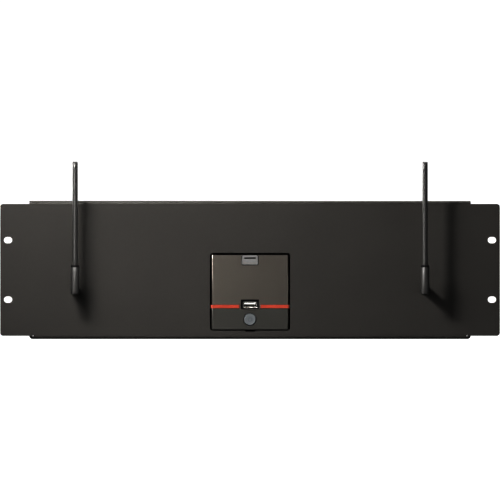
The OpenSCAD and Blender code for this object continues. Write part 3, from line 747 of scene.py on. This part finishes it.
def make_button():
    """A round key with a softened rim and a dished face, on its flange and stem."""
    centre, front, rear = middle("power_button"), low("power_button").y, high("power_button").y
    flange = (high("power_button").x - low("power_button").x) / 2
    cap, stem, stem_edge = 5.85 * MM, 1.75 * MM, 0.3 * MM
    step = front + 3.3 * MM
    flange_t, flange_edge = 0.8 * MM, 0.15 * MM
    dish, soft = 0.22 * MM, 0.55 * MM
    profile = [
        (stem - stem_edge, rear),
        (stem, rear - stem_edge),
        (stem, step + flange_t),
        (flange - flange_edge, step + flange_t),
        (flange, step + flange_t - flange_edge),
        (flange, step + flange_edge),
        (flange - flange_edge, step),
        (cap, step),
    ]
    rim_steps, dish_steps = 4, 8
    for i in range(rim_steps + 1):
        turn = TURN / 4 * i / rim_steps
        profile.append((cap - soft * (1 - math.cos(turn)), front + soft * (1 - math.sin(turn))))
    for i in range(1, dish_steps):
        part = i / dish_steps
        radius = (cap - soft) * (1 - part)
        profile.append((radius, front + dish * (1 - (1 - part) ** 2)))
    bm = bmesh.new()
    lathe_y(bm, centre, profile, 64)
    settle(new_object("power_key_cap", bm), "power_key", "power_button")
    make_standby_mark(centre, front + dish)


def make_standby_mark(centre, face_y):
    """The common standby sign: a ring open at the top, with an upright stroke in the gap."""
    radius, half, steps = 1.9 * MM, 0.2 * MM, 40
    gap = math.radians(38)
    lift, sunk = Vector((0, 0.05 * MM, 0)), Vector((0, 0.1 * MM, 0))
    base = Vector((centre.x, face_y, centre.z))
    bm = bmesh.new()
    loops = []
    for i in range(steps + 1):
        angle = math.pi / 2 + gap + (TURN - 2 * gap) * i / steps
        out = Vector((math.cos(angle), 0, math.sin(angle)))
        inner, outer = base + out * (radius - half), base + out * (radius + half)
        loops.append([inner + sunk, outer + sunk, outer - lift, inner - lift])
    loft(bm, loops)
    stroke = base + Vector((0, 0, 1.5 * MM))
    width, length, corner = 2 * half, 1.9 * MM, half * 0.9
    loft(bm, [
        rounded_y(stroke, width, length, corner, face_y + sunk.y),
        rounded_y(stroke, width, length, corner, face_y - lift.y),
    ])
    mark = new_object("standby_mark", bm)
    mark.data.materials.append(button_mark())
    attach(mark, "power_key")


# ---------------------------------------------------------------- stage

def floor_height():
    """Just under the lowest point that an antenna reaches when it is turned upside down."""
    pin = middle("hinge_pin_left").z
    reach = high("antenna_whip_left").z - pin
    clearance = 6 * MM
    return pin - reach - clearance


def make_floor():
    bm = bmesh.new()
    reach = 40.0
    bmesh.ops.create_grid(bm, x_segments=8, y_segments=8, size=reach)
    floor = new_object("studio_floor", bm)
    floor.location.z = floor_height()
    mat = bpy.data.materials.new("studio_floor")
    mat.use_nodes = True
    tree = mat.node_tree
    tree.nodes.clear()
    out = tree.nodes.new("ShaderNodeOutputMaterial")
    paper = tree.nodes.new("ShaderNodeBsdfDiffuse")
    paper.inputs["Color"].default_value = (0.22, 0.22, 0.22, 1)
    glow = tree.nodes.new("ShaderNodeEmission")
    glow.inputs["Strength"].default_value = 0.97
    seen = tree.nodes.new("ShaderNodeLightPath")
    both = tree.nodes.new("ShaderNodeAddShader")
    pick = tree.nodes.new("ShaderNodeMixShader")
    tree.links.new(paper.outputs["BSDF"], both.inputs[0])
    tree.links.new(glow.outputs["Emission"], both.inputs[1])
    tree.links.new(seen.outputs["Is Camera Ray"], pick.inputs["Fac"])
    tree.links.new(paper.outputs["BSDF"], pick.inputs[1])
    tree.links.new(both.outputs["Shader"], pick.inputs[2])
    tree.links.new(pick.outputs["Shader"], out.inputs["Surface"])
    floor.data.materials.append(mat)


def make_world(front, back):
    """A white backdrop to the eye; what the object sees is dim in front and brighter behind it."""
    world = bpy.data.worlds.new("studio")
    bpy.context.scene.world = world
    world.use_nodes = True
    tree = world.node_tree
    tree.nodes.clear()
    out = tree.nodes.new("ShaderNodeOutputWorld")
    coords = tree.nodes.new("ShaderNodeTexCoord")
    split = tree.nodes.new("ShaderNodeSeparateXYZ")
    tree.links.new(coords.outputs["Generated"], split.inputs["Vector"])
    dim = tree.nodes.new("ShaderNodeBackground")
    dim.inputs["Color"].default_value = (1, 1, 1, 1)
    level = spread(tree, split.outputs["Y"], front, back, -0.4, 0.6)
    tree.links.new(level, dim.inputs["Strength"])
    white = tree.nodes.new("ShaderNodeBackground")
    white.inputs["Color"].default_value = (1, 1, 1, 1)
    white.inputs["Strength"].default_value = 1.1
    seen = tree.nodes.new("ShaderNodeLightPath")
    pick = tree.nodes.new("ShaderNodeMixShader")
    tree.links.new(seen.outputs["Is Camera Ray"], pick.inputs["Fac"])
    tree.links.new(dim.outputs["Background"], pick.inputs[1])
    tree.links.new(white.outputs["Background"], pick.inputs[2])
    tree.links.new(pick.outputs["Shader"], out.inputs["Surface"])


def area_light(name, place, target, size, power, colour=(1, 1, 1), beam=180):
    data = bpy.data.lights.new(name, "AREA")
    data.shape = "RECTANGLE"
    data.size, data.size_y = size
    data.energy = power
    data.color = colour
    data.spread = math.radians(beam)
    light = bpy.data.objects.new(name, data)
    light.location = place
    aim = Vector(target) - Vector(place)
    light.rotation_mode = "QUATERNION"
    light.rotation_quaternion = aim.to_track_quat("-Z", "Y")
    bpy.context.scene.collection.objects.link(light)


def make_lights():
    """A long softbox on the left that fades away from the eye, soft fills in front, and two behind."""
    right_end, centre = (0.6, 0, -0.28), (-0.05, 0, -0.1)
    warm = (1, 0.99, 0.975)
    area_light("key_near", (-0.33, -0.52, 0.43), right_end, (0.13, 0.13), 7.0, warm, 115)
    area_light("key_middle", (-0.4, -0.435, 0.4), centre, (0.13, 0.15), 2.3, warm, 120)
    area_light("key_far", (-0.48, -0.4, 0.3), centre, (0.14, 0.17), 0.9, warm, 120)
    area_light("key_low", (-0.3, -0.47, 0.12), (0.1, 0, 0), (0.22, 0.26), 0.9, warm, 120)
    area_light("fill_left", (-0.95, -0.75, -0.3), (-0.15, 0, -0.05), (0.8, 0.8), 2.8)
    area_light("fill_right", (0.8, -0.7, -0.25), (0.2, 0, -0.05), (0.6, 0.5), 11.0)
    area_light("overhead", (0.3, 0.16, 0.85), (0.08, 0.03, 0), (0.8, 0.3), 7.0)
    area_light("rear", (0.7, 1.5, 1.1), (0, 0.08, 0), (2.0, 2.0), 40.0)
    area_light("rear_left", (-1.2, 1.2, 0.5), (0, 0.08, 0), (1.4, 1.4), 75.0)


def make_camera():
    data = bpy.data.cameras.new("camera")
    data.sensor_width = SENSOR
    data.lens = SENSOR * EYE_DISTANCE / VIEW_WIDTH
    data.clip_start = 0.1
    data.clip_end = 200.0
    camera = bpy.data.objects.new("camera", data)
    front = low("rack_shelf").y
    camera.location = (0, front - EYE_DISTANCE, EYE_HEIGHT)
    camera.rotation_euler = (math.radians(90), 0, 0)
    bpy.context.scene.collection.objects.link(camera)
    bpy.context.scene.camera = camera


def set_tones():
    """Plain display colours with deep blacks: a steeper curve that keeps white white."""
    view = bpy.context.scene.view_settings
    view.view_transform = "Standard"
    view.gamma = 1 / CONTRAST


# ---------------------------------------------------------------- build

make_camera()
make_world(0.1, 1.4)
make_lights()
make_floor()
set_tones()
dress_nodes()
round_rims()
for antenna_side in SIDES:
    make_whip(antenna_side)
make_jacks()
make_usb_shell()
make_badge()
make_button()
